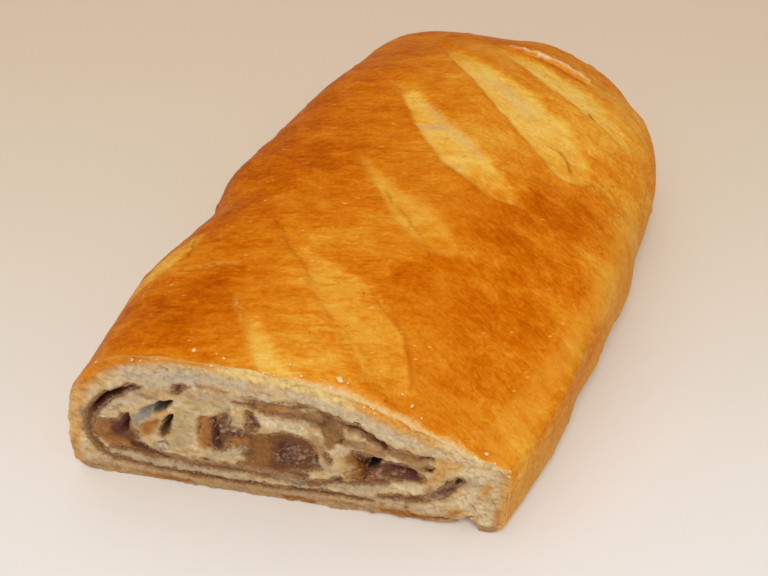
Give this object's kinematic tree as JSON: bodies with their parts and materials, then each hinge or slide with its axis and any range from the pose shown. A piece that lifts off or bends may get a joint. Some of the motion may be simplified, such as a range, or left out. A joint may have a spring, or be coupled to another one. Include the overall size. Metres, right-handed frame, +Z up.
{
  "type": "nut-filled kringle loaf half",
  "caption": "Cut half of a flat rolled yeast loaf with a golden slashed crust and a spiral of nut filling showing at the cut face.",
  "frame": {"origin": "middle of the base, on the surface the loaf stands on", "axes": "+Y along the loaf from the cut face to the rounded end, +X to the right seen from the cut, +Z up"},
  "size_m": [0.1229, 0.2187, 0.05],
  "materials": {
    "baked_dough": "egg-washed golden crust with pale slashes, pale open crumb where it is cut",
    "nut_filling": "moist coarse ground nut paste"
  },
  "bodies": {
    "root": {"dough": "baked_dough", "filling": "nut_filling"}
  },
  "joints": []
}
